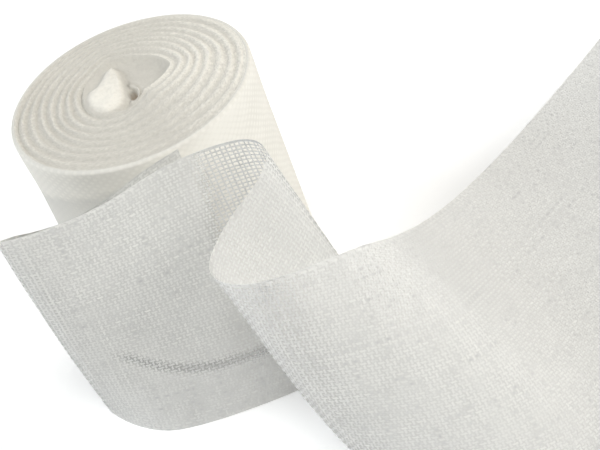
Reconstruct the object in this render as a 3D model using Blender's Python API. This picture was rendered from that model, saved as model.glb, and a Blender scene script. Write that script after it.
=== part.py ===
"""Gauze bandage roll standing on its end, with its loose tail standing beside it in an S.

The strip is 75 mm wide. The wound part is one solid. The loose part is one thin sheet.
Origin: centre of the roll's base on the floor. +Z is up, and -Y is the side the tail stands on.
"""
import math

import bmesh
import bpy
import numpy as np

MM = 0.001

# Wound roll, in millimetres
STRIP_WIDTH = 75.0
ROLL_RADIUS = 33.6
RIM_ROUNDING = 1.2
TURNS_SHOWN = 8
TURN_GROOVE = 0.9
SAMPLES_PER_TURN = 4
ROLL_SIDES = 72
# The innermost turn is drawn into an oval that sits behind the axis
INNER_HALF_LENGTH = 14.0
INNER_HALF_WIDTH = 9.0
INNER_CENTRE = (0.5, 5.0)
INNER_TILT = math.radians(14)
CORE_DEPTH = 2.6
CORE_RINGS = 5

# Loose tail, in millimetres
SHEET_THICKNESS = 1.0
ROWS_ACROSS = 6
STRAIGHT_STEP = 4.5
BEND_STEP = 2.5

# Stations along the tail. "along" is the length of cloth from the roll. Each station gives the
# top edge, the middle of the width and the foot on the floor, in millimetres.
STATION_COLUMNS = (
    "along",
    "top_x", "top_y", "top_z",
    "mid_x", "mid_y", "mid_z",
    "foot_x", "foot_y",
)
# Hidden layer from the roll's front to the fold on the left
BACK_LAYER = (
    (0, 7.5, -33.8, 74.5, 7.5, -33.8, 37.5, 7.5, -33.8),
    (10, -2.5, -37.0, 74.2, -3.0, -34.9, 37.5, -3.0, -34.9),
    (20, -12.5, -41.0, 73.4, -13.5, -34.2, 37.2, -13.0, -32.8),
    (30, -22.5, -43.2, 72.8, -24.0, -33.4, 37.0, -22.5, -28.5),
    (40, -33.0, -42.8, 73.0, -34.5, -34.5, 36.8, -33.0, -27.5),
    (45, -38.5, -42.3, 73.6, -39.0, -37.0, 36.8, -37.5, -29.5),
)
# Fold on the left, then the front layer to the bend on the right
FRONT_LAYER = (
    (50, -42.5, -43.4, 74.4, -41.0, -41.3, 37.0, -39.2, -34.0),
    (55, -38.5, -45.2, 74.8, -37.8, -45.0, 37.3, -36.8, -39.0),
    (60, -33.0, -46.0, 74.8, -32.8, -46.8, 37.4, -33.0, -43.8),
    (70, -22.0, -46.0, 74.7, -22.0, -47.6, 37.3, -23.8, -50.8),
    (80, -12.0, -44.0, 74.5, -11.3, -47.6, 37.1, -12.2, -53.4),
    (90, -2.0, -40.0, 74.2, -0.5, -47.2, 37.1, -0.5, -54.2),
    (100, 8.2, -37.2, 73.7, 10.2, -46.5, 37.0, 11.5, -54.0),
    (110, 18.8, -37.4, 73.7, 21.0, -46.0, 37.0, 23.4, -52.8),
    (115, 23.7, -39.2, 74.0, 26.5, -46.4, 37.0, 29.4, -52.4),
    (120, 27.2, -42.9, 74.1, 31.7, -47.8, 37.0, 35.5, -52.4),
    (125, 28.1, -47.9, 73.8, 35.6, -51.0, 37.1, 41.0, -53.8),
    (130, 26.1, -52.6, 73.1, 36.2, -55.9, 37.0, 43.4, -57.8),
    (135, 22.8, -56.5, 72.4, 34.1, -60.7, 36.8, 42.7, -62.8),
)
# Return to the left in front of it, and the lobe where the strip turns back to the right
LOBE = (
    (145, 15.2, -63.5, 71.4, 27.6, -68.8, 36.2, 37.5, -71.8),
    (155, 8.6, -71.8, 70.8, 21.0, -76.9, 35.7, 31.8, -80.3),
    (160, 6.5, -76.5, 70.8, 18.0, -81.2, 35.5, 29.1, -84.7),
    (165, 6.2, -81.6, 71.1, 15.8, -86.0, 35.3, 27.0, -89.4),
    (170, 8.5, -86.2, 71.6, 15.0, -91.1, 35.2, 26.1, -94.3),
    (175, 12.3, -89.6, 72.0, 16.7, -95.8, 35.5, 27.3, -99.1),
    (185, 22.0, -92.3, 72.3, 24.7, -101.9, 36.1, 32.7, -107.5),
    (195, 32.0, -91.1, 71.0, 34.5, -104.9, 36.1, 40.8, -113.4),
)
# The strip leans back and settles towards the floor as it runs off to the right
RUN_OUT = (
    (205, 40.4, -86.9, 67.7, 44.6, -105.8, 35.5, 50.4, -116.8),
    (215, 46.0, -80.9, 62.0, 54.4, -104.0, 34.0, 60.7, -118.4),
    (225, 49.8, -73.9, 55.8, 62.3, -98.9, 31.0, 71.2, -118.0),
    (240, 54.2, -62.9, 46.7, 70.2, -88.3, 24.2, 85.8, -112.6),
    (255, 59.2, -51.7, 37.9, 78.2, -77.3, 18.3, 98.2, -103.3),
    (275, 69.6, -37.2, 28.8, 91.8, -63.5, 14.0, 113.9, -90.4),
    (300, 86.5, -19.5, 22.0, 110.0, -46.6, 11.0, 133.2, -73.9),
    (330, 108.4, 0.7, 18.2, 132.3, -26.8, 9.0, 156.0, -54.4),
    (380, 146.6, 32.1, 18.0, 170.3, 5.2, 9.0, 193.9, -21.8),
)
BENDS = ((38, 62), (112, 138), (158, 178))


def clear_scene():
    for old in list(bpy.data.objects):
        bpy.data.objects.remove(old, do_unlink=True)


def smoothstep(low, high, value):
    t = np.clip((value - low) / (high - low), 0.0, 1.0)
    return t * t * (3.0 - 2.0 * t)


def add_node(name, vertices, faces, colour, roughness):
    """Makes one closed body from millimetre vertices, with its own material."""
    mesh = bpy.data.meshes.new(name)
    mesh.from_pydata([tuple(MM * float(c) for c in v) for v in vertices], [], faces)
    work = bmesh.new()
    work.from_mesh(mesh)
    bmesh.ops.triangulate(work, faces=work.faces[:])
    bmesh.ops.recalc_face_normals(work, faces=work.faces[:])
    if work.calc_volume(signed=True) < 0:
        bmesh.ops.reverse_faces(work, faces=work.faces[:])
    work.to_mesh(mesh)
    work.free()
    mesh.polygons.foreach_set("use_smooth", [True] * len(mesh.polygons))
    material = bpy.data.materials.new(name)
    material.use_nodes = True
    shader = material.node_tree.nodes["Principled BSDF"]
    shader.inputs["Base Color"].default_value = (*colour, 1.0)
    shader.inputs["Roughness"].default_value = roughness
    mesh.materials.append(material)
    node = bpy.data.objects.new(name, mesh)
    bpy.context.collection.objects.link(node)
    return node


def turn_outline(share, angle):
    """A point on the winding: share 0 is the outside, share 1 the innermost oval turn."""
    circle = ROLL_RADIUS - RIM_ROUNDING
    outer = np.array([circle * math.cos(angle), circle * math.sin(angle)])
    along = INNER_HALF_LENGTH * math.cos(angle - INNER_TILT)
    across = INNER_HALF_WIDTH * math.sin(angle - INNER_TILT)
    inner = np.array([
        INNER_CENTRE[0] + along * math.cos(INNER_TILT) - across * math.sin(INNER_TILT),
        INNER_CENTRE[1] + along * math.sin(INNER_TILT) + across * math.cos(INNER_TILT),
    ])
    return outer * (1.0 - share) + inner * share


def core_height(x, y):
    """Height of the soft folded middle, relative to the end of the roll."""
    height = -CORE_DEPTH
    # A plump fold fills the left and back of the middle
    lump = math.exp(-(((x + 7.5) / 5.0) ** 2 + ((y - 3.5) / 7.0) ** 2) ** 2)
    height += 2.9 * lump
    # A low shelf of cloth lies to the right of it
    shelf = math.exp(-(((x - 8.5) / 5.0) ** 2 + ((y - 7.0) / 4.5) ** 2) ** 2)
    height += 1.4 * shelf
    # The strip's first turn leaves a small hole between them
    hole = math.exp(-(((x - 0.3) / 2.3) ** 2 + ((y - 4.0) / 3.8) ** 2) ** 2)
    height -= 3.6 * hole
    return height


def build_roll():
    vertices = []
    faces = []
    angles = [2.0 * math.pi * k / ROLL_SIDES for k in range(ROLL_SIDES)]

    def ring(points):
        start = len(vertices)
        vertices.extend(points)
        return start

    def join(lower, upper):
        for k in range(ROLL_SIDES):
            n = (k + 1) % ROLL_SIDES
            faces.append((lower + k, lower + n, upper + n, upper + k))

    def round_ring(radius, z):
        return ring([(radius * math.cos(a), radius * math.sin(a), z) for a in angles])

    # Flat end on the floor, rounded edge and side wall
    foot = round_ring(ROLL_RADIUS - RIM_ROUNDING, 0.0)
    rings = [foot]
    for share in (0.35, 0.7):
        turn = 0.5 * math.pi * share
        radius = ROLL_RADIUS - RIM_ROUNDING * (1.0 - math.sin(turn))
        rings.append(round_ring(radius, RIM_ROUNDING * (1.0 - math.cos(turn))))
    rings.append(round_ring(ROLL_RADIUS, RIM_ROUNDING))
    rings.append(round_ring(ROLL_RADIUS, STRIP_WIDTH - RIM_ROUNDING))
    for share in (0.4, 0.75):
        turn = 0.5 * math.pi * share
        radius = ROLL_RADIUS - RIM_ROUNDING * (1.0 - math.cos(turn))
        height = STRIP_WIDTH - RIM_ROUNDING * (1.0 - math.sin(turn))
        rings.append(round_ring(radius, height))

    # The upper end: a spiral groove between the turns, running inwards
    steps = TURNS_SHOWN * SAMPLES_PER_TURN
    for step in range(steps + 1):
        share = step / steps
        points = []
        for a in angles:
            x, y = turn_outline(share, a)
            phase = TURNS_SHOWN * share + a / (2.0 * math.pi)
            groove = 0.5 - 0.5 * math.cos(2.0 * math.pi * phase)
            depth = TURN_GROOVE * groove * float(smoothstep(0.0, 0.04, share))
            sink = 0.6 * float(smoothstep(0.75, 1.0, share))
            points.append((x, y, STRIP_WIDTH - depth - sink))
        rings.append(ring(points))

    # The folded middle
    for step in range(1, CORE_RINGS):
        inside = 1.0 - step / CORE_RINGS
        blend = float(smoothstep(0.0, 0.45, 1.0 - inside))
        points = []
        for a in angles:
            edge = turn_outline(1.0, a)
            x = INNER_CENTRE[0] + (edge[0] - INNER_CENTRE[0]) * inside
            y = INNER_CENTRE[1] + (edge[1] - INNER_CENTRE[1]) * inside
            z = STRIP_WIDTH - 0.8 * (1.0 - blend) + core_height(x, y) * blend
            points.append((x, y, z))
        rings.append(ring(points))
    for lower, upper in zip(rings[:-1], rings[1:]):
        join(lower, upper)

    middle = len(vertices)
    vertices.append((*INNER_CENTRE, STRIP_WIDTH + core_height(*INNER_CENTRE)))
    base = len(vertices)
    vertices.append((0.0, 0.0, 0.0))
    last = rings[-1]
    for k in range(ROLL_SIDES):
        n = (k + 1) % ROLL_SIDES
        faces.append((last + k, last + n, middle))
        faces.append((foot + n, foot + k, base))
    return add_node("roll", vertices, faces, (0.90, 0.87, 0.79), 0.9)


def station_curves():
    """Smooth curves through the stations, as functions of the length of cloth."""
    table = np.array(BACK_LAYER + FRONT_LAYER + LOBE + RUN_OUT, dtype=float)
    along = table[:, 0]
    values = table[:, 1:]
    gaps = np.diff(along)[:, None]
    slopes = np.diff(values, axis=0) / gaps
    tangents = np.empty_like(values)
    tangents[0] = slopes[0]
    tangents[-1] = slopes[-1]
    tangents[1:-1] = (slopes[:-1] * gaps[1:] + slopes[1:] * gaps[:-1]) / (gaps[:-1] + gaps[1:])

    def at(length):
        k = int(np.clip(np.searchsorted(along, length) - 1, 0, len(along) - 2))
        gap = along[k + 1] - along[k]
        t = (length - along[k]) / gap
        row = (2 * t ** 3 - 3 * t ** 2 + 1) * values[k]
        row = row + (t ** 3 - 2 * t ** 2 + t) * gap * tangents[k]
        row = row + (3 * t ** 2 - 2 * t ** 3) * values[k + 1]
        row = row + (t ** 3 - t ** 2) * gap * tangents[k + 1]
        return row[0:3], row[3:6], np.array([row[6], row[7], 0.0])

    return at, along[-1]


def tail_lengths(total):
    """Lengths at which the tail is cut across, closer together in its bends."""
    lengths = [0.0]
    while lengths[-1] < total - 1.0:
        here = lengths[-1]
        bent = any(low <= here < high for low, high in BENDS)
        lengths.append(here + (BEND_STEP if bent else STRAIGHT_STEP))
    lengths[-1] = total
    return lengths


def build_tail():
    at, total = station_curves()
    lengths = tail_lengths(total)
    shares = np.linspace(0.0, 1.0, ROWS_ACROSS + 1)

    def surface(length, share):
        top, middle, foot = at(min(max(length, 0.0), total))
        low = (1 - share) * (1 - 2 * share) * top
        return low + 4 * share * (1 - share) * middle + share * (2 * share - 1) * foot

    vertices = []
    for length in lengths:
        for share in shares:
            point = surface(length, share)
            run = surface(length + 0.4, share) - surface(length - 0.4, share)
            rise = surface(length, min(share + 0.02, 1.0)) - surface(length, max(share - 0.02, 0.0))
            normal = np.cross(run, rise)
            if share == 1.0:
                # The foot's two long edges both lie on the floor
                normal[2] = 0.0
            normal = normal / np.linalg.norm(normal)
            vertices.append(point + 0.5 * SHEET_THICKNESS * normal)
            vertices.append(point - 0.5 * SHEET_THICKNESS * normal)

    rows = len(shares)

    def corner(i, j, side):
        return 2 * (i * rows + j) + side

    faces = []
    for i in range(len(lengths) - 1):
        for j in range(rows - 1):
            faces.append((corner(i, j, 0), corner(i, j + 1, 0), corner(i + 1, j + 1, 0), corner(i + 1, j, 0)))
            faces.append((corner(i, j, 1), corner(i + 1, j, 1), corner(i + 1, j + 1, 1), corner(i, j + 1, 1)))
        for j in (0, rows - 1):
            faces.append((corner(i, j, 0), corner(i + 1, j, 0), corner(i + 1, j, 1), corner(i, j, 1)))
    for i in (0, len(lengths) - 1):
        for j in range(rows - 1):
            faces.append((corner(i, j, 0), corner(i, j, 1), corner(i, j + 1, 1), corner(i, j + 1, 0)))
    return add_node("tail", vertices, faces, (0.93, 0.93, 0.90), 0.9)


clear_scene()
build_roll()
build_tail()
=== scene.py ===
"""Gauze bandage roll standing on its end, with its loose tail standing beside it in an S.

The tail is real open weave: every warp and weft thread is there, with a veil of loose fibres
between them. The roll is a close wound body whose upper end shows the soft edges of its turns.
"""
import math

import bpy
import numpy as np
from mathutils import Matrix, Vector


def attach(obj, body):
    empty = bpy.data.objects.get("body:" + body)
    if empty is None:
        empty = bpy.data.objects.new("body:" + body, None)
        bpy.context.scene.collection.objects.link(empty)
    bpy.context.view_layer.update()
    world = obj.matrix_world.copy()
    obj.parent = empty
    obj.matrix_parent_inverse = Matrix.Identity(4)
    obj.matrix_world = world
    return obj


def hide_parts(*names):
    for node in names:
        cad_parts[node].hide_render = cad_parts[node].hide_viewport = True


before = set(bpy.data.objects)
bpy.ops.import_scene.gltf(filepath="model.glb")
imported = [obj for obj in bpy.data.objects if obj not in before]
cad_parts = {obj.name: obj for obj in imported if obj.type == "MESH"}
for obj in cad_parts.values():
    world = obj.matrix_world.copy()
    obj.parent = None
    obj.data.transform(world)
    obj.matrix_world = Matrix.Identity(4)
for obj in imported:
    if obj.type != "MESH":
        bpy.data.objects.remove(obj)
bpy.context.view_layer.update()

MM = 0.001

# Strip and weave, in millimetres
STRIP_WIDTH = 75.0
TAIL_LENGTH = 380.0
ENDS = 72
PICK_SPACING = 1.3
# Picks once round the roll's wall
ROLL_PICKS = 162

# Threads of the tail, in millimetres
WARP_WIDTH = 0.54
WEFT_WIDTH = 0.58
# How far a thread passes over or under, and how far its middle stands up
THREAD_LIFT = 0.085
THREAD_CROWN = 0.05
# One more end at each edge, as shares of the width, and the share of the lift that is left there
SELVEDGE_ENDS = (0.0016, 0.9984)
SELVEDGE_LIFT = 0.3
# Picks bow across the strip and drift along it, and ends drift across it
PICK_BOW = 0.10
PICK_DRIFT = 0.16
END_DRIFT = 0.05
# Uneven spinning, and the least and the most width, as shares of the width
WARP_UNEVEN = 0.10
WEFT_UNEVEN = 0.12
WIDTH_LIMITS = (0.6, 1.5)
# Half steps over which the sheet's directions are taken: millimetres along, and a share across
STEP_ALONG = 0.3
STEP_ACROSS = 0.004
# Tone of the threads: its middle, how far it strays, and what passing over adds, so that a thread passing
# under is painted darker, as shade
THREAD_TONE = 0.5
TONE_STRAY = 0.16
TONE_OVER_UNDER_SHADE = 0.11

# Veil of lint between the threads
LINT_ROWS = 60
LINT_COLUMNS = 146
LINT_OPACITY = 0.85
LINT_PATCHINESS = 0.2
# Share of light that passes to the far side
THREAD_THROUGH = 0.08
LINT_THROUGH = 0.3
# The tail's far end is painted a little darker, as shade: from and to along X in metres, and the share left
RUN_OUT_PAINTED_SHADE = (0.075, 0.17, 0.87)

# Places on the tail that look different. Each begins, is full, starts to fade and ends at these
# lengths of cloth from the roll, in millimetres.
LEFT_FOLD = (40.0, 46.0, 50.0, 60.0)
FRONT_FOOT = (60.0, 76.0, 100.0, 114.0)
FOOT_LINE = (63.0, 69.0, 98.0, 106.0)
TURNING_BACK = (162.0, 168.0, 182.0, 192.0)
# The clear patch begins sooner further down the strip
CLEAR_PATCH = (101.0, 105.5, 122.0, 130.0)
CLEAR_PATCH_SLANT = 15.0
# Shares of the width down the strip between which two of them come or go
CLEAR_PATCH_DOWN = (0.38, 0.50)
FRONT_FOOT_DOWN = (0.70, 0.86)
# Where the roll's foot shows through: lengths, shares of the width down, and the line's half width
FOOT_LINE_ALONG = (66.0, 70.0, 75.0, 81.0, 87.0, 92.0, 97.0, 104.0)
FOOT_LINE_SHARE = (0.62, 0.67, 0.72, 0.76, 0.78, 0.785, 0.79, 0.79)
FOOT_LINE_HALF = 0.022
# Share of the lint that is missing there
LINT_LOSS = {"clear_patch": 0.92, "foot_line": 0.75, "turning_back": 0.25}
# How much darker the threads are painted there, as shade, or lighter, as painted light, where it is below 0
THREAD_PAINTED_SHADE_AND_LIGHT = {
    "clear_patch": 0.62,
    "foot_line": 0.8,
    "turning_back": 0.35,
    "left_fold": -0.3,
    "front_foot": 0.35,
}
CLEAR_PATCH_THINNING = 0.26

# Wound roll, in millimetres
ROLL_RADIUS = 33.6
ROLL_SIDES = 320
WALL_ROWS = 40
FOOT_ROUNDING = 2.6
FOOT_RADII = (4.0, ROLL_RADIUS - 8.0, ROLL_RADIUS - FOOT_ROUNDING)
RIM_ROUNDING = 1.1
# Shares of the quarter turn round the foot's edge and round the rim
FOOT_SHARES = (0.35, 0.7)
RIM_SHARES = (0.2, 0.4, 0.6, 0.8)
# The upper rim stands out a little from a share of the height up, most of all towards the left
RIM_FLARE = 0.3
RIM_LEAN = 0.6
RIM_LEAN_ANGLE = 160.0
RIM_FLARE_FROM = 0.72
RIM_FLARE_CURVE = 1.5
# Where the wall's cloth ends, the first edge of a turn starts at this share of its place
WALL_END = 0.998
# Upper end: turns, how deep they are parted, and the share of that depth left in front and behind
TURNS = 7.5
RINGS_PER_TURN = 12
GROOVE_DEPTH = 0.55
GROOVE_LEAST = 0.35
GROOVE_ANGLE = 8.0
END_RIDGE = 0.05
END_FUZZ = 0.035
# How far the upper end lies below the strip's width, and how much further at the innermost turn
END_SINK = 0.12
INNER_SINK = 0.5
# Folded middle
CORE_RINGS = 56
CORE_CENTRE = (-0.5, 4.5)
CORE_FUZZ = 0.03
# Share of the way from the innermost turn to the centre in which the middle's own form begins
CORE_EDGE = 0.22

# Edge of a painted shadow on the roll's left, the wall darker below it: direction in degrees, and depth
# below the upper end in millimetres
SHADOW_EDGE_ANGLE = (150.0, 180.0, 194.0, 212.0, 225.0, 244.0, 262.0)
SHADOW_EDGE_DEPTH = (22.0, 18.0, 15.5, 11.8, 10.0, 8.0, 5.0)
SHADOW_EDGE_HALF = 0.8
# Directions in degrees where the roll's left side begins, is full, starts to fade and ends; there the wall
# is painted in shade
LEFT_SIDE = (165.0, 190.0, 240.0, 275.0)
# Direction in degrees of the painted light on the roll's wall, and how narrow it is
PAINTED_LIGHT_ANGLE = -56.0
PAINTED_LIGHT_NARROWNESS = 4

# Tones of the roll's cloth, and what places, grooves and fuzz add
# The roll's foot is painted darker, as shade
FOOT_PAINTED_SHADE_TONE = 0.3
WALL_TONE = 0.5
# Painted light on the wall's right front
WALL_PAINTED_LIGHT = 0.32
# Painted shade on the wall's left side
WALL_LEFT_PAINTED_SHADE = -0.06
# Painted shadow below the shadow's edge on the left
WALL_PAINTED_SHADOW = -0.20
RIM_PAINTED_LIGHT = 0.26
RIM_TONE = 0.3
END_TONE = 0.71
# The grooves at the upper end are painted darker, as shade
END_GROOVE_SHADE = -0.30
END_FUZZ_TONE = 2.4
# What the upper end gains at both sides, loses in front and behind, and gains on the right as painted light
END_SIDES = 0.15
END_SIDES_ANGLE = 10.0
END_FRONT = 0.05
END_RIGHT_PAINTED_LIGHT = 0.27
END_RIGHT_ANGLE = -8.0
CORE_EDGE_TONE = 0.6

# Innermost turn, seen from above, x and y in millimetres, once round anticlockwise. Its points and
# the fold's were read from the photograph, and a separate program projected them to the roll's end.
INNER_TURN = (
    (12.5, 5.8), (10.6, 10.3), (5.3, 15.2), (-0.4, 18.2), (-4.1, 19.0),
    (-8.6, 14.4), (-12.3, 10.0), (-13.4, 4.0), (-12.2, -3.4), (-9.4, -7.2),
    (-4.4, -8.8), (-1.3, -7.9), (1.7, -5.0), (3.4, -1.5), (7.5, 0.3),
)

# Outline of the plump fold in the middle, seen from above, x and y in millimetres
FOLD_OUTLINE = (
    (-3.5, 14.4), (-2.3, 11.9), (-1.9, 6.9), (-2.0, 1.7), (-2.3, -1.7),
    (-3.9, -4.6), (-7.3, -5.9), (-10.0, -5.5), (-11.6, -4.0), (-12.4, 0.1),
    (-12.5, 3.8), (-11.0, 6.4), (-8.6, 7.3), (-7.0, 9.9), (-5.4, 13.0),
)
# The fold is a little larger than its outline
FOLD_MARGIN = 0.7
FOLD_TOP = -0.3
FOLD_PLUMPNESS = 0.5
FOLD_WAVE = 0.12
FOLD_TONE = 1.12
# Sunk floor of cloth beside it, and how much deeper it lies on the right, in millimetres
FLOOR_SINK = 1.3
FLOOR_DEEPER = 0.9
# Tone of the sunk floor, painted darker as shade in the recess
SUNK_FLOOR_SHADE_TONE = 0.57
# Small hole, in millimetres, and the height of the rim about it
HOLE_CENTRE = (0.0, 0.3)
HOLE_HALF = (1.4, 2.9)
HOLE_DEPTH = 1.6
HOLE_RIM = 0.5

# Stations along the tail, in millimetres: the length of cloth from the roll, then x, y, z of the
# top edge, x, y, z of the middle of the width, and x, y of the foot on the floor. Most of them are
# rounded results of a separate program that fitted the strip to outline points in the photograph.

# Hidden layer from the roll's front to the fold on the left
BACK_LAYER = (
    (0, 7.5, -33.8, 74.5, 7.5, -33.8, 37.5, 7.5, -33.8),
    (10, -2.5, -37.0, 74.2, -3.0, -34.9, 37.5, -3.0, -34.9),
    (20, -12.5, -41.0, 73.4, -13.5, -34.2, 37.2, -13.0, -32.8),
    (30, -22.5, -43.2, 72.8, -24.0, -33.4, 37.0, -22.5, -28.5),
    (40, -33.0, -42.8, 73.0, -34.5, -34.5, 36.8, -33.0, -27.5),
    (45, -38.5, -42.3, 73.6, -39.0, -37.0, 36.8, -37.5, -29.5),
)
# Fold on the left, then the front layer to the bend on the right
FRONT_LAYER = (
    (50, -42.5, -43.4, 74.4, -41.0, -41.3, 37.0, -39.2, -34.0),
    (55, -38.5, -45.2, 74.8, -37.8, -45.0, 37.3, -36.8, -39.0),
    (60, -33.0, -46.0, 74.8, -32.8, -46.8, 37.4, -33.0, -43.8),
    (70, -22.0, -46.0, 74.7, -22.0, -47.6, 37.3, -23.8, -50.8),
    (80, -12.0, -44.0, 74.5, -11.3, -47.6, 37.1, -12.2, -53.4),
    (90, -2.0, -40.0, 74.2, -0.5, -47.2, 37.1, -0.5, -54.2),
    (100, 8.2, -37.2, 73.7, 10.2, -46.5, 37.0, 11.5, -54.0),
    (110, 18.8, -37.4, 73.7, 21.0, -46.0, 37.0, 23.4, -52.8),
    (115, 23.7, -39.2, 74.0, 26.5, -46.4, 37.0, 29.4, -52.4),
    (120, 27.2, -42.9, 74.1, 31.7, -47.8, 37.0, 35.5, -52.4),
    (125, 28.1, -47.9, 73.8, 35.6, -51.0, 37.1, 41.0, -53.8),
    (130, 26.1, -52.6, 73.1, 36.2, -55.9, 37.0, 43.4, -57.8),
    (135, 22.8, -56.5, 72.4, 34.1, -60.7, 36.8, 42.7, -62.8),
)
# Return to the left in front of it, and the lobe where the strip turns back to the right
LOBE = (
    (145, 15.2, -63.5, 71.4, 27.6, -68.8, 36.2, 37.5, -71.8),
    (155, 8.6, -71.8, 70.8, 21.0, -76.9, 35.7, 31.8, -80.3),
    (160, 6.5, -76.5, 70.8, 18.0, -81.2, 35.5, 29.1, -84.7),
    (165, 6.2, -81.6, 71.1, 15.8, -86.0, 35.3, 27.0, -89.4),
    (170, 8.5, -86.2, 71.6, 15.0, -91.1, 35.2, 26.1, -94.3),
    (175, 12.3, -89.6, 72.0, 16.7, -95.8, 35.5, 27.3, -99.1),
    (185, 22.0, -92.3, 72.3, 24.7, -101.9, 36.1, 32.7, -107.5),
    (195, 32.0, -91.1, 71.0, 34.5, -104.9, 36.1, 40.8, -113.4),
)
# The strip leans back and settles towards the floor as it runs off to the right
RUN_OUT = (
    (205, 40.4, -86.9, 67.7, 44.6, -105.8, 35.5, 50.4, -116.8),
    (215, 46.0, -80.9, 62.0, 54.4, -104.0, 34.0, 60.7, -118.4),
    (225, 49.8, -73.9, 55.8, 62.3, -98.9, 31.0, 71.2, -118.0),
    (240, 54.2, -62.9, 46.7, 70.2, -88.3, 24.2, 85.8, -112.6),
    (255, 59.2, -51.7, 37.9, 78.2, -77.3, 18.3, 98.2, -103.3),
    (275, 69.6, -37.2, 28.8, 91.8, -63.5, 14.0, 113.9, -90.4),
    (300, 86.5, -19.5, 22.0, 110.0, -46.6, 11.0, 133.2, -73.9),
    (330, 108.4, 0.7, 18.2, 132.3, -26.8, 9.0, 156.0, -54.4),
    (380, 146.6, 32.1, 18.0, 170.3, 5.2, 9.0, 193.9, -21.8),
)

# Camera, as a separate program fitted it to outline points in the photograph
CAMERA_PLACE = (0.02939451, -0.37164942, 0.31025862)
CAMERA_RIGHT = (0.93304453, -0.2261255, -0.27981273)
CAMERA_UP = (0.3597609, 0.58645939, 0.72569792)
CAMERA_LENS = 97.52

# Lights: name, azimuth from +X towards +Y and elevation in degrees, size in metres, energy, colour.
# Energies and colours were matched to the photograph with the help of a separate program.
LIGHTS = (
    ("right_back", 50, 25, 1.1, 17.6, (1.0, 0.97, 0.93)),
    ("right", -20, 30, 1.1, 22.7, (1.0, 0.98, 0.94)),
    ("front_right", -50, 40, 1.1, 6.5, (1.0, 1.0, 0.97)),
    ("front_high", -86, 60, 0.9, 30.0, (1.0, 0.995, 0.97)),
    ("left", 170, 35, 1.1, 33.0, (0.92, 0.96, 1.0)),
)
LIGHT_DISTANCE = 2.5
LIGHT_AIM = (0.04, -0.04, 0.035)

# Floor, in metres, and the strength of the space round it as light and as it is seen
FLOOR_HALF = 1.5
FLOOR_HEIGHT = -0.0002
FLOOR_GLOW = 0.2
SPACE_LIGHT = 0.005
SPACE_SEEN = 1.0


# Curves

def smoothstep(low, high, value):
    """Goes smoothly from 0 at low to 1 at high."""
    t = np.clip((value - low) / (high - low), 0.0, 1.0)
    return t * t * (3.0 - 2.0 * t)


def band(edges, value):
    """Rises smoothly over the first two edges and falls over the last two."""
    start, full, fading, end = edges
    return smoothstep(start, full, value) * smoothstep(end, fading, value)


def towards(angles, direction):
    """Cosine of the angle to a direction in degrees."""
    return np.cos(angles - math.radians(direction))


def wander(count, samples, size, random, waves):
    """Gentle irregular lines, one a row, that run off true by about size."""
    t = np.linspace(0.0, 1.0, samples)[None, :]
    total = np.zeros((count, samples))
    for wave in waves:
        amplitude = random.normal(size=(count, 1))
        phase = random.random((count, 1))
        total += amplitude * np.sin(2.0 * math.pi * (wave * t + phase))
    return size * total / math.sqrt(len(waves))


# Tail

def tail_surface():
    """The tail's curved sheet, as a function of length along it and share of the width down it."""
    table = np.array(BACK_LAYER + FRONT_LAYER + LOBE + RUN_OUT, dtype=float)
    along = table[:, 0]
    values = table[:, 1:]
    gaps = np.diff(along)[:, None]
    slopes = np.diff(values, axis=0) / gaps
    tangents = np.empty_like(values)
    tangents[0] = slopes[0]
    tangents[-1] = slopes[-1]
    tangents[1:-1] = (slopes[:-1] * gaps[1:] + slopes[1:] * gaps[:-1]) / (gaps[:-1] + gaps[1:])

    def surface(length, share):
        k = np.clip(np.searchsorted(along, length) - 1, 0, len(along) - 2)
        gap = (along[k + 1] - along[k])[..., None]
        t = (length - along[k])[..., None] / gap
        row = (2 * t ** 3 - 3 * t ** 2 + 1) * values[k]
        row = row + (t ** 3 - 2 * t ** 2 + t) * gap * tangents[k]
        row = row + (3 * t ** 2 - 2 * t ** 3) * values[k + 1]
        row = row + (t ** 3 - t ** 2) * gap * tangents[k + 1]
        top = row[..., 0:3]
        middle = row[..., 3:6]
        foot = np.concatenate([row[..., 6:8], np.zeros_like(row[..., :1])], axis=-1)
        s = share[..., None]
        return (1 - s) * (1 - 2 * s) * top + 4 * s * (1 - s) * middle + s * (2 * s - 1) * foot

    return surface


def tail_places(along, across):
    """How much each place that looks different takes part, from 0 to 1."""
    # The openings are free of lint near the top of the bend beside the roll
    start, full, fading, end = CLEAR_PATCH
    slant = CLEAR_PATCH_SLANT * across
    clear = band((start - slant, full - slant, fading, end), along)
    # A line shows where the roll's foot lies behind the cloth
    line = np.interp(along, FOOT_LINE_ALONG, FOOT_LINE_SHARE)
    return {
        "clear_patch": clear * smoothstep(CLEAR_PATCH_DOWN[1], CLEAR_PATCH_DOWN[0], across),
        "foot_line": band(FOOT_LINE, along) * np.exp(-((across - line) / FOOT_LINE_HALF) ** 2),
        "turning_back": band(TURNING_BACK, along),
        "left_fold": band(LEFT_FOLD, along),
        "front_foot": band(FRONT_FOOT, along) * smoothstep(*FRONT_FOOT_DOWN, across),
    }


def share_left(losses, places):
    """What is left of 1 after the losses at the places."""
    return 1.0 - sum(loss * places[name] for name, loss in losses.items())


def ribbons(point, normal, half, lift, tone, start):
    """Threads, one for each row of crossings, with their middle raised on the side they pass."""
    middle = point + lift * (1.0 + THREAD_CROWN / THREAD_LIFT) * normal
    vertices = np.stack([point + lift * normal - half, middle, point + lift * normal + half], axis=2)
    lines, samples = vertices.shape[:2]
    a = np.arange(lines)[:, None]
    b = np.arange(samples - 1)[None, :]
    faces = []
    for k in (0, 1):
        here = start + (a * samples + b) * 3 + k
        there = here + 3
        faces.append(np.stack([here, there, there + 1, here + 1], axis=-1).reshape(-1, 4))
    tones = np.repeat(tone[..., None], 3, axis=2)
    return vertices.reshape(-1, 3), np.concatenate(faces), tones.reshape(-1)


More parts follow.
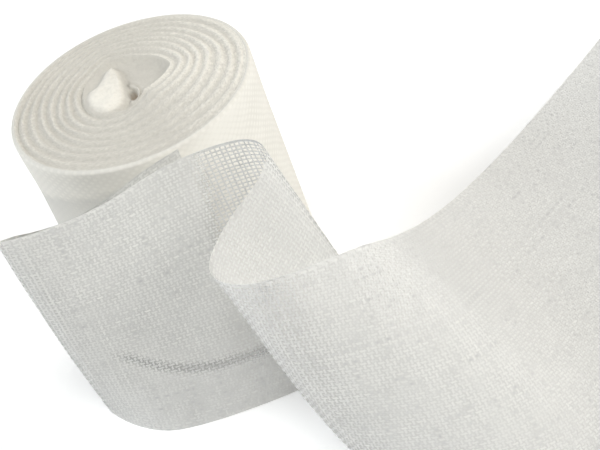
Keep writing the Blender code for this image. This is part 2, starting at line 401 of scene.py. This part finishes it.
def spun_width(width, uneven):
    """A thread's uneven width, kept within limits."""
    return np.clip(width * uneven, WIDTH_LIMITS[0] * width, WIDTH_LIMITS[1] * width)


def woven(surface, length, random):
    """Warp and weft threads of a plain weave on a surface, as vertices, faces and tones."""
    # One more end at each edge makes the selvedge
    ends = (np.arange(ENDS) + 0.5) / ENDS
    ends = np.sort(np.concatenate([ends, SELVEDGE_ENDS]))
    count = len(ends)
    picks = int(round(length / PICK_SPACING))
    crossings = (np.arange(picks) + 0.5) * length / picks

    # Picks bow a little as they cross the strip, and ends drift a little along it
    along = crossings[None, :] + wander(picks, count, PICK_BOW, random, (1, 2, 5)).T
    along = along + wander(1, picks, PICK_DRIFT, random, (5, 13, 29))
    drift = wander(count, picks, END_DRIFT, random, (3, 8, 21))
    across = np.clip(ends[:, None] + drift / STRIP_WIDTH, 0.0, 1.0)
    # The ends run out a little past the first and the last pick
    along = np.concatenate([np.zeros((count, 1)), along, np.full((count, 1), length)], axis=1)
    along = np.clip(along, 0.0, length)
    across = np.concatenate([across[:, :1], across, across[:, -1:]], axis=1)
    columns = along.shape[1]

    point = surface(along, across)
    run = surface(along + STEP_ALONG, across) - surface(along - STEP_ALONG, across)
    low = np.clip(across - STEP_ACROSS, 0.0, 1.0)
    high = np.clip(across + STEP_ACROSS, 0.0, 1.0)
    fall = surface(along, high) - surface(along, low)
    normal = np.cross(run, fall)
    normal /= np.linalg.norm(normal, axis=-1, keepdims=True)
    run /= np.linalg.norm(run, axis=-1, keepdims=True)
    fall /= np.linalg.norm(fall, axis=-1, keepdims=True)

    # Each thread passes over and under by turns, and tight selvedges hardly wave
    i = np.arange(count)[:, None]
    j = np.arange(columns)[None, :]
    over = np.where((i + j) % 2 == 0, 1.0, -1.0)
    over[:2] *= SELVEDGE_LIFT
    over[-2:] *= SELVEDGE_LIFT

    places = tail_places(along, across)
    thin = 1.0 - CLEAR_PATCH_THINNING * places["clear_patch"]
    warp_uneven = thin * (1.0 + wander(count, columns, WARP_UNEVEN, random, (11, 29, 61)))
    weft_uneven = thin * (1.0 + wander(columns, count, WEFT_UNEVEN, random, (2, 5, 11)).T)
    warp_stray = wander(count, columns, TONE_STRAY, random, (4, 17, 47))
    weft_stray = wander(columns, count, TONE_STRAY, random, (1, 4, 9)).T
    # Painted shade on the threads at some places, and painted light at the left fold
    thread_painted_shading = share_left(THREAD_PAINTED_SHADE_AND_LIGHT, places)
    warp_tone = thread_painted_shading * (THREAD_TONE + warp_stray + TONE_OVER_UNDER_SHADE * over)
    weft_tone = thread_painted_shading * (THREAD_TONE + weft_stray - TONE_OVER_UNDER_SHADE * over)
    warp_half = 0.5 * spun_width(WARP_WIDTH, warp_uneven)[..., None] * fall
    weft_half = -0.5 * spun_width(WEFT_WIDTH, weft_uneven)[..., None] * run
    lift = THREAD_LIFT * over[..., None]

    warp = ribbons(point, normal, warp_half, lift, warp_tone, 0)

    def weft_rows(values):
        """One row a pick, without the run-out ends past the first and the last of them."""
        return values[:, 1:-1].swapaxes(0, 1)

    weft = ribbons(
        weft_rows(point), weft_rows(normal), weft_rows(weft_half), weft_rows(-lift),
        weft_rows(weft_tone), len(warp[0]))
    vertices, faces, tones = (np.concatenate(pair) for pair in zip(warp, weft))
    return vertices, faces, np.clip(tones, 0.0, 1.0)


def lint(surface, length):
    """The haze of loose fibres that bridges the openings, as a thin film between the threads."""
    along, across = np.meshgrid(
        np.linspace(0.0, length, LINT_COLUMNS + 1), np.linspace(0.0, 1.0, LINT_ROWS + 1), indexing="ij")
    points = surface(along, across).reshape(-1, 3)
    amount = np.clip(share_left(LINT_LOSS, tail_places(along, across)), 0.0, 1.0)
    i, j = np.meshgrid(np.arange(LINT_COLUMNS), np.arange(LINT_ROWS), indexing="ij")
    a = (i * (LINT_ROWS + 1) + j).reshape(-1)
    b = a + LINT_ROWS + 1
    return points, np.stack([a, b, b + 1, a + 1], axis=-1), amount.reshape(-1)


def tail_cloth():
    """Threads and lint together. Material 0 is the threads, material 1 the lint."""
    surface = tail_surface()
    threads = woven(surface, TAIL_LENGTH, np.random.RandomState(5))
    film = lint(surface, TAIL_LENGTH)
    vertices = np.concatenate([threads[0], film[0]])
    faces = np.concatenate([threads[1], film[1] + len(threads[0])])
    tone = np.concatenate([threads[2], film[2]])
    kinds = [0] * len(threads[1]) + [1] * len(film[1])
    return vertices, faces.tolist(), tone, kinds


# Roll

def inner_radius(angle):
    """Distance from the core's centre to the innermost turn in a direction."""
    points = np.array(INNER_TURN) - np.array(CORE_CENTRE)
    angles = np.arctan2(points[:, 1], points[:, 0])
    order = np.argsort(angles)
    angles = angles[order]
    radii = np.hypot(points[:, 0], points[:, 1])[order]
    angles = np.concatenate([angles - 2 * math.pi, angles, angles + 2 * math.pi])
    radii = np.tile(radii, 3)
    # The outline is read every half degree, and rounded over 14 of them to each side
    fine = (np.linspace(-1.0, 1.0, 721) * math.pi)[:-1]
    rough = np.interp(fine, angles, radii)
    width = 14
    kernel = np.hanning(2 * width + 1)
    kernel /= kernel.sum()
    wrapped = np.concatenate([rough[-width:], rough, rough[:width]])
    smooth = np.convolve(wrapped, kernel, mode="valid")
    return np.interp((angle + math.pi) % (2 * math.pi) - math.pi, fine, smooth, period=2 * math.pi)


def depth_inside(x, y, outline):
    """How far inside a closed outline each point lies, in millimetres; negative outside."""
    points = np.array(outline)
    best = np.full(np.shape(x), 1e9)
    inside = np.zeros(np.shape(x), dtype=bool)
    for (ax, ay), (bx, by) in zip(points, np.roll(points, -1, axis=0)):
        way_x = bx - ax
        way_y = by - ay
        t = np.clip(((x - ax) * way_x + (y - ay) * way_y) / (way_x ** 2 + way_y ** 2), 0.0, 1.0)
        best = np.minimum(best, np.hypot(x - ax - t * way_x, y - ay - t * way_y))
        if ay != by:
            crosses = ((ay > y) != (by > y)) & (x < ax + (y - ay) * way_x / way_y)
            inside = inside ^ crosses
    return np.where(inside, best, -best)


def core_height(x, y):
    """Height of the folded middle, relative to the end of the roll, and its tone."""
    # A sunk floor of cloth lies inside the innermost turn, deeper on the right, and painted darker there as
    # shade
    height = -FLOOR_SINK - FLOOR_DEEPER * smoothstep(-6.0, -1.5, x)
    tone = SUNK_FLOOR_SHADE_TONE - 0.04 * smoothstep(4.0, 9.0, x) * smoothstep(11.0, 6.0, y)
    # A plump fold of the strip's first turns fills the left, wide in front and narrow behind
    depth = depth_inside(x, y, FOLD_OUTLINE) + FOLD_MARGIN
    rise = smoothstep(-0.9, 1.6, depth)
    top = FOLD_TOP + FOLD_PLUMPNESS * smoothstep(0.0, 4.0, depth) + FOLD_WAVE * np.sin(0.9 * x - 0.6 * y)
    height = height + (top - height) * rise
    fold_tone = FOLD_TONE - 0.12 * smoothstep(2.0, 12.0, y)
    tone = tone + (fold_tone - tone) * smoothstep(-0.3, 1.3, depth)
    # The strip's very start leaves a small hole to the right of it, with a tucked rim
    reach = np.hypot((x - HOLE_CENTRE[0]) / HOLE_HALF[0], (y - HOLE_CENTRE[1]) / HOLE_HALF[1])
    rim = np.exp(-((reach - 1.35) / 0.25) ** 2) * smoothstep(-0.5, -1.5, depth)
    hole = smoothstep(1.15, 0.45, reach)
    height = height + HOLE_RIM * rim - HOLE_DEPTH * hole
    # The hole is painted dark, as shade, and its tucked rim a little lighter
    tone = (tone + 0.10 * rim) * (1.0 - 0.9 * hole)
    return height, tone


def roll_body():
    """The close wound body: flat foot, wall, soft ridged upper end and folded middle."""
    random = np.random.RandomState(11)
    angles = 2.0 * math.pi * np.arange(ROLL_SIDES) / ROLL_SIDES
    rings = []
    tones = []

    def ring(x, y, z, tone):
        rings.append(np.stack([x, y, z * np.ones_like(x)], axis=-1))
        tones.append(tone * np.ones_like(x))

    def circle(radius, z, tone):
        ring(radius * np.cos(angles), radius * np.sin(angles), z, tone)

    flare = RIM_FLARE + RIM_LEAN * np.maximum(0.0, towards(angles, RIM_LEAN_ANGLE))
    # Painted light: the wall is painted brighter in front on the right, where the tail covers it and light
    # from the right falls
    wall_painted_light = np.clip(towards(angles, PAINTED_LIGHT_ANGLE), 0.0, 1.0) ** PAINTED_LIGHT_NARROWNESS
    # A slanting painted shadow on the left: the wall is painted darker below its edge
    degrees = np.degrees(angles)
    shadow_edge = STRIP_WIDTH - np.interp(degrees, SHADOW_EDGE_ANGLE, SHADOW_EDGE_DEPTH)
    left = band(LEFT_SIDE, degrees)

    # The foot's edge is rolled under, and painted darker, as shade
    for radius in FOOT_RADII:
        circle(radius, 0.0, FOOT_PAINTED_SHADE_TONE)
    for share in FOOT_SHARES:
        turn = 0.5 * math.pi * share
        radius = ROLL_RADIUS - FOOT_ROUNDING * (1.0 - math.sin(turn))
        circle(radius, FOOT_ROUNDING * (1.0 - math.cos(turn)), FOOT_PAINTED_SHADE_TONE)
    for row in range(WALL_ROWS + 1):
        share = row / WALL_ROWS
        height = FOOT_ROUNDING + (STRIP_WIDTH - FOOT_ROUNDING - RIM_ROUNDING) * share
        flared = float(smoothstep(RIM_FLARE_FROM, 1.0, share)) ** RIM_FLARE_CURVE
        under = smoothstep(shadow_edge + SHADOW_EDGE_HALF, shadow_edge - SHADOW_EDGE_HALF, height) * left
        tone = FOOT_PAINTED_SHADE_TONE + (WALL_TONE - FOOT_PAINTED_SHADE_TONE) * float(smoothstep(0.0, 0.02, share))
        tone = tone + WALL_PAINTED_LIGHT * wall_painted_light + WALL_PAINTED_SHADOW * under + WALL_LEFT_PAINTED_SHADE * left
        circle(ROLL_RADIUS + flare * flared, height, tone)
    for share in RIM_SHARES:
        turn = 0.5 * math.pi * share
        radius = ROLL_RADIUS + flare - RIM_ROUNDING * (1.0 - math.cos(turn))
        tone = (WALL_TONE + RIM_PAINTED_LIGHT * wall_painted_light) * (1.0 - share) + RIM_TONE * share
        circle(radius, STRIP_WIDTH - RIM_ROUNDING * (1.0 - math.sin(turn)), tone)
    wall_rings = len(rings)

    # The upper end
    inner = inner_radius(angles)
    inner_x = CORE_CENTRE[0] + inner * np.cos(angles)
    inner_y = CORE_CENTRE[1] + inner * np.sin(angles)
    outer = ROLL_RADIUS + flare - RIM_ROUNDING
    steps = int(TURNS * RINGS_PER_TURN)
    # Grooves are clear at the sides, and close up in front and behind, where turns press together
    clear = GROOVE_LEAST + (1.0 - GROOVE_LEAST) * np.abs(towards(angles, GROOVE_ANGLE)) ** 1.4
    # The edges of the turns are lighter at the sides, and painted lighter on the right, as light
    sides = END_SIDES * np.abs(towards(angles, END_SIDES_ANGLE)) - END_FRONT
    sides = sides + END_RIGHT_PAINTED_LIGHT * np.clip(towards(angles, END_RIGHT_ANGLE), 0.0, 1.0) ** 2
    for step in range(steps + 1):
        share = step / steps
        x = outer * np.cos(angles) * (1 - share) + inner_x * share
        y = outer * np.sin(angles) * (1 - share) + inner_y * share
        unround = 0.10 * np.sin(2 * angles + 9 * share) + 0.05 * np.sin(5 * angles - 14 * share)
        phase = TURNS * share + angles / (2 * math.pi) + unround
        groove = (0.5 + 0.5 * np.cos(2 * math.pi * phase)) ** 1.15
        groove = groove * float(smoothstep(0.0, 0.05, share))
        ridge = END_RIDGE * np.sin(2 * math.pi * (3.0 * phase + 0.3 * np.sin(4 * angles)))
        fuzz = random.normal(size=ROLL_SIDES) * END_FUZZ
        sink = END_SINK + INNER_SINK * float(smoothstep(0.8, 1.0, share))
        z = STRIP_WIDTH + (ridge - GROOVE_DEPTH * groove) * clear + fuzz - sink
        if step == 0:
            # The wall's cloth ends here, and the edges of the turns begin
            ring(x, y, z, RIM_TONE)
            x = x * WALL_END
            y = y * WALL_END
        ring(x, y, z, END_TONE + END_GROOVE_SHADE * groove * clear + END_FUZZ_TONE * fuzz + sides)

    # The folded middle
    for step in range(1, CORE_RINGS):
        inside = 1.0 - step / CORE_RINGS
        x = CORE_CENTRE[0] + (inner_x - CORE_CENTRE[0]) * inside
        y = CORE_CENTRE[1] + (inner_y - CORE_CENTRE[1]) * inside
        height, tone = core_height(x, y)
        part = float(smoothstep(0.0, CORE_EDGE, 1.0 - inside))
        fuzz = random.normal(size=ROLL_SIDES) * CORE_FUZZ
        height = height * part - (END_SINK + INNER_SINK) * (1 - part)
        ring(x, y, STRIP_WIDTH + height + fuzz, CORE_EDGE_TONE * (1 - part) + tone * part)

    # The last ring closes on the middle, and the first on the centre of the foot
    height, core_tone = core_height(*np.array(CORE_CENTRE)[:, None])
    vertices = np.concatenate(rings)
    middle = len(vertices)
    centres = [[*CORE_CENTRE, STRIP_WIDTH + height[0]], [0.0, 0.0, 0.0]]
    vertices = np.concatenate([vertices, centres])
    tone = np.concatenate([*tones, core_tone, [WALL_TONE]])
    k = np.arange(ROLL_SIDES)
    n = (k + 1) % ROLL_SIDES
    quads = []
    for low in range(len(rings) - 1):
        a = low * ROLL_SIDES
        b = a + ROLL_SIDES
        quads.append(np.stack([a + k, a + n, b + n, b + k], axis=-1))
    pairs = list(zip(k.tolist(), n.tolist()))
    last = (len(rings) - 1) * ROLL_SIDES
    faces = [tuple(quad) for quad in np.concatenate(quads).tolist()]
    faces += [(last + a, last + b, middle) for a, b in pairs]
    faces += [(b, a, middle + 1) for a, b in pairs]
    # Material 0 is the upper end, material 1 the wall and the foot
    kinds = [1] * (wall_rings * ROLL_SIDES) + [0] * ((len(rings) - 1 - wall_rings) * ROLL_SIDES)
    kinds += [0] * ROLL_SIDES + [1] * ROLL_SIDES
    return vertices, faces, tone, kinds


def add_piece(name, cloth, materials):
    """One mesh object from millimetre vertices, with a tone at each of them."""
    vertices, faces, tone, kinds = cloth
    mesh = bpy.data.meshes.new(name)
    mesh.from_pydata((vertices * MM).tolist(), [], faces)
    mesh.polygons.foreach_set("use_smooth", [True] * len(mesh.polygons))
    for material in materials:
        mesh.materials.append(material)
    mesh.polygons.foreach_set("material_index", kinds)
    attribute = mesh.attributes.new("tone", "FLOAT", "POINT")
    attribute.data.foreach_set("value", np.asarray(tone, np.float32))
    mesh.update()
    piece = bpy.data.objects.new(name, mesh)
    bpy.context.scene.collection.objects.link(piece)
    return piece


# Materials

class Nodes:
    """Short calls for building a material's node tree."""

    def __init__(self, name):
        self.material = bpy.data.materials.new(name)
        self.material.use_nodes = True
        self.tree = self.material.node_tree
        self.shader = self.tree.nodes["Principled BSDF"]
        self.output = self.tree.nodes["Material Output"]
        self.place = self.add("TexCoord").outputs["Object"]

    def add(self, kind):
        return self.tree.nodes.new("ShaderNode" + kind)

    def link(self, source, target):
        self.tree.links.new(source, target)

    def split(self):
        node = self.add("SeparateXYZ")
        self.link(self.place, node.inputs["Vector"])
        return (node.outputs[k] for k in "XYZ")

    def noise(self, scale, detail):
        node = self.add("TexNoise")
        node.inputs["Scale"].default_value = scale
        node.inputs["Detail"].default_value = detail
        node.inputs["Roughness"].default_value = 0.6
        self.link(self.place, node.inputs["Vector"])
        return node.outputs["Fac"]

    def math(self, operation, *values):
        node = self.add("Math")
        node.operation = operation
        for socket, value in zip(node.inputs, values):
            if isinstance(value, (int, float)):
                socket.default_value = value
            else:
                self.link(value, socket)
        return node.outputs[0]

    def ramp(self, factor, *stops):
        node = self.add("ValToRGB")
        first, last = node.color_ramp.elements
        first.position = stops[0][0]
        last.position = stops[-1][0]
        first.color = (*stops[0][1], 1.0)
        last.color = (*stops[-1][1], 1.0)
        for position, colour in stops[1:-1]:
            node.color_ramp.elements.new(position).color = (*colour, 1.0)
        self.link(factor, node.inputs["Fac"])
        return node.outputs["Color"]

    def tone(self):
        node = self.add("Attribute")
        node.attribute_name = "tone"
        return node.outputs["Fac"]

    def painted_shade_along_x(self, colour, start, end, least):
        """Paints shade: takes a colour down gently from one place along X to another, in metres."""
        x, _, _ = self.split()
        node = self.add("MapRange")
        node.inputs["From Min"].default_value = start
        node.inputs["From Max"].default_value = end
        node.inputs["To Min"].default_value = 1.0
        node.inputs["To Max"].default_value = least
        self.link(x, node.inputs["Value"])
        shade = self.add("HueSaturation")
        self.link(node.outputs["Result"], shade.inputs["Value"])
        self.link(colour, shade.inputs["Color"])
        return shade.outputs["Color"]

    def cloth(self, colour, specular, factor, roughness):
        """Matt finish: a colour, little shine, and roughness that follows a factor."""
        self.link(colour, self.shader.inputs["Base Color"])
        self.shader.inputs["Specular IOR Level"].default_value = specular
        node = self.add("MapRange")
        node.inputs["To Min"].default_value = roughness
        node.inputs["To Max"].default_value = 1.0
        self.link(factor, node.inputs["Value"])
        self.link(node.outputs["Result"], self.shader.inputs["Roughness"])

    def bump(self, height, strength, distance):
        node = self.add("Bump")
        node.inputs["Strength"].default_value = strength
        node.inputs["Distance"].default_value = distance
        self.link(height, node.inputs["Height"])
        self.link(node.outputs["Normal"], self.shader.inputs["Normal"])
        return node.outputs["Normal"]

    def mix(self, factor, first, second):
        """Shows a mix of two shaders, and returns it."""
        node = self.add("MixShader")
        if isinstance(factor, float):
            node.inputs["Fac"].default_value = factor
        else:
            self.link(factor, node.inputs["Fac"])
        self.link(first, node.inputs[1])
        self.link(second, node.inputs[2])
        self.link(node.outputs["Shader"], self.output.inputs["Surface"])
        return node.outputs["Shader"]

    def glow_through(self, colour, normal, share):
        """Lets part of the light that falls on one side show on the other."""
        through = self.add("BsdfTranslucent")
        self.link(colour, through.inputs["Color"])
        self.link(normal, through.inputs["Normal"])
        return self.mix(share, self.shader.outputs["BSDF"], through.outputs["BSDF"])

    def see_through(self, surface, opacity):
        """Lets what lies behind show where opacity is low."""
        clear = self.add("BsdfTransparent")
        return self.mix(opacity, clear.outputs["BSDF"], surface)


def tail_cotton():
    """Soft spun cotton: matt, slightly uneven in colour, with fine fibres."""
    n = Nodes("tail_cotton")
    slub = n.noise(220.0, 3.0)
    fibre = n.noise(3800.0, 2.0)
    factor = n.math("MULTIPLY_ADD", n.tone(), 0.75, n.math("MULTIPLY", slub, 0.25))
    colour = n.ramp(factor, (0.1, (0.58, 0.58, 0.58)), (0.4, (0.81, 0.81, 0.79)), (0.9, (0.93, 0.93, 0.90)))
    colour = n.painted_shade_along_x(colour, *RUN_OUT_PAINTED_SHADE)
    n.cloth(colour, 0.25, slub, 0.85)
    n.shader.inputs["Sheen Weight"].default_value = 0.15
    n.glow_through(colour, n.bump(fibre, 0.35, 0.00012), THREAD_THROUGH)
    return n.material


def lint_haze():
    """Loose fibres between the threads: a faint veil."""
    n = Nodes("lint_haze")
    cloud = n.noise(700.0, 4.0)
    colour = n.ramp(cloud, (0.2, (0.81, 0.81, 0.79)), (0.8, (0.87, 0.87, 0.85)))
    colour = n.painted_shade_along_x(colour, *RUN_OUT_PAINTED_SHADE)
    n.cloth(colour, 0.1, cloud, 0.9)
    surface = n.glow_through(colour, n.bump(cloud, 0.3, 0.0002), LINT_THROUGH)
    least = LINT_OPACITY - 0.5 * LINT_PATCHINESS
    patchy = n.math("MULTIPLY_ADD", n.noise(150.0, 2.0), LINT_PATCHINESS, least)
    n.see_through(surface, n.math("MULTIPLY", n.tone(), patchy))
    return n.material


def roll_edges():
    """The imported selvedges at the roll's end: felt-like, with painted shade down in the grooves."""
    n = Nodes("roll_edges")
    felt = n.noise(900.0, 5.0)
    patch = n.noise(60.0, 3.0)
    uneven = n.math("MULTIPLY_ADD", felt, 0.3, n.math("MULTIPLY", patch, 0.1))
    factor = n.math("MULTIPLY_ADD", n.tone(), 0.65, uneven)
    colour = n.ramp(
        factor,
        (0.0, (0.33, 0.23, 0.15)),
        (0.15, (0.46, 0.37, 0.28)),
        (0.38, (0.52, 0.50, 0.45)),
        (0.70, (0.68, 0.655, 0.595)),
        (0.95, (0.92, 0.89, 0.81)),
    )
    n.cloth(colour, 0.2, felt, 0.9)
    n.shader.inputs["Sheen Weight"].default_value = 0.2
    n.bump(felt, 0.6, 0.0006)
    return n.material


def roll_wall():
    """The roll's outer turn: plain weave drawn tight, over close layers of the same."""
    n = Nodes("roll_wall")
    x, y, z = n.split()
    # Threads run a little off true
    stray = n.math("MULTIPLY_ADD", n.noise(120.0, 2.0), 0.9, -0.45)
    turn = n.math("MULTIPLY_ADD", n.math("ARCTAN2", y, x), 0.5 * ROLL_PICKS / math.pi, stray)
    rise = n.math("MULTIPLY_ADD", z, ENDS / (MM * STRIP_WIDTH), stray)
    turn_wave = n.math("SINE", n.math("MULTIPLY", turn, math.pi))
    rise_wave = n.math("SINE", n.math("MULTIPLY", rise, math.pi))
    # Each thread is round across, and passes over and under by turns
    warp_side = n.math("MULTIPLY", turn_wave, n.math("SIGN", rise_wave))
    weft_side = n.math("MULTIPLY", rise_wave, n.math("SIGN", turn_wave))
    warp_round = n.math("POWER", n.math("ABSOLUTE", rise_wave), 0.6)
    weft_round = n.math("POWER", n.math("ABSOLUTE", turn_wave), 0.6)
    warp = n.math("MULTIPLY_ADD", warp_side, 0.45, warp_round)
    weft = n.math("MULTIPLY_ADD", weft_side, -0.45, weft_round)
    weave = n.math("MAXIMUM", warp, weft)
    fibre = n.noise(2500.0, 3.0)
    height = n.math("MULTIPLY_ADD", fibre, 0.3, weave)
    # The chequer of threads is painted light and shade, and shows most where the tone is highest, on the
    # right front where light is painted
    chequer_shading = n.math("MULTIPLY", n.math("MULTIPLY", turn_wave, rise_wave), n.tone())
    # The openings between the threads are painted darker, as shade
    shade = n.math("MULTIPLY_ADD", weave, 0.09, n.math("MULTIPLY", n.noise(90.0, 3.0), 0.3))
    shade = n.math("MULTIPLY_ADD", chequer_shading, 0.16, n.math("ADD", shade, 0.30))
    factor = n.math("MULTIPLY", shade, n.math("MULTIPLY", n.tone(), 2.0))
    colour = n.ramp(
        factor,
        (0.0, (0.46, 0.44, 0.40)),
        (0.22, (0.66, 0.65, 0.61)),
        (0.50, (0.84, 0.82, 0.76)),
        (0.90, (0.96, 0.94, 0.88)),
    )
    n.cloth(colour, 0.2, fibre, 0.9)
    n.bump(height, 0.14, 0.00015)
    return n.material


def pale_floor():
    n = Nodes("pale_floor")
    grain = n.noise(30.0, 3.0)
    colour = n.ramp(grain, (0.2, (0.94, 0.94, 0.94)), (0.8, (0.96, 0.96, 0.96)))
    n.cloth(colour, 0.0, grain, 0.9)
    n.shader.inputs["Emission Color"].default_value = (1.0, 1.0, 1.0, 1.0)
    n.shader.inputs["Emission Strength"].default_value = FLOOR_GLOW
    return n.material


# Camera, floor and light

def add_camera():
    right = Vector(CAMERA_RIGHT)
    up = Vector(CAMERA_UP)
    back = right.cross(up)
    data = bpy.data.cameras.new("camera")
    data.lens = CAMERA_LENS
    data.sensor_width = 36.0
    data.clip_start = 0.01
    data.clip_end = 20.0
    camera = bpy.data.objects.new("camera", data)
    turn = Matrix((right, up, back)).transposed().to_4x4()
    camera.matrix_world = Matrix.Translation(CAMERA_PLACE) @ turn
    bpy.context.scene.collection.objects.link(camera)
    bpy.context.scene.camera = camera
    bpy.context.scene.view_settings.view_transform = "Standard"


def add_floor():
    sides = ((-1, -1), (1, -1), (1, 1), (-1, 1))
    corners = [(x * FLOOR_HALF, y * FLOOR_HALF, FLOOR_HEIGHT) for x, y in sides]
    mesh = bpy.data.meshes.new("floor")
    mesh.from_pydata(corners, [], [(0, 1, 2, 3)])
    mesh.materials.append(pale_floor())
    floor = bpy.data.objects.new("floor", mesh)
    bpy.context.scene.collection.objects.link(floor)


def add_lights():
    for name, azimuth, elevation, size, energy, colour in LIGHTS:
        data = bpy.data.lights.new(name, "AREA")
        data.shape = "DISK"
        data.size = size
        data.energy = energy
        data.color = colour
        a = math.radians(azimuth)
        e = math.radians(elevation)
        way = Vector((math.cos(e) * math.cos(a), math.cos(e) * math.sin(a), math.sin(e)))
        lamp = bpy.data.objects.new(name, data)
        lamp.location = Vector(LIGHT_AIM) + LIGHT_DISTANCE * way
        lamp.rotation_euler = way.to_track_quat("Z", "Y").to_euler()
        bpy.context.scene.collection.objects.link(lamp)


def add_space():
    """Past the floor all looks pale, yet next to no light comes from there."""
    world = bpy.data.worlds.new("studio")
    world.use_nodes = True
    nodes = world.node_tree.nodes
    links = world.node_tree.links
    background = nodes["Background"]
    background.inputs["Color"].default_value = (1.0, 1.0, 1.0, 1.0)
    path = nodes.new("ShaderNodeLightPath")
    strength = nodes.new("ShaderNodeMapRange")
    strength.inputs["To Min"].default_value = SPACE_LIGHT
    strength.inputs["To Max"].default_value = SPACE_SEEN
    links.new(path.outputs["Is Camera Ray"], strength.inputs["Value"])
    links.new(strength.outputs["Result"], background.inputs["Strength"])
    bpy.context.scene.world = world


# Making

add_camera()

tail = add_piece("tail_gauze", tail_cloth(), [tail_cotton(), lint_haze()])
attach(tail, "root")
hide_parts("tail")

roll = add_piece("roll_gauze", roll_body(), [roll_edges(), roll_wall()])
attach(roll, "root")
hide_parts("roll")

add_floor()
add_lights()
add_space()
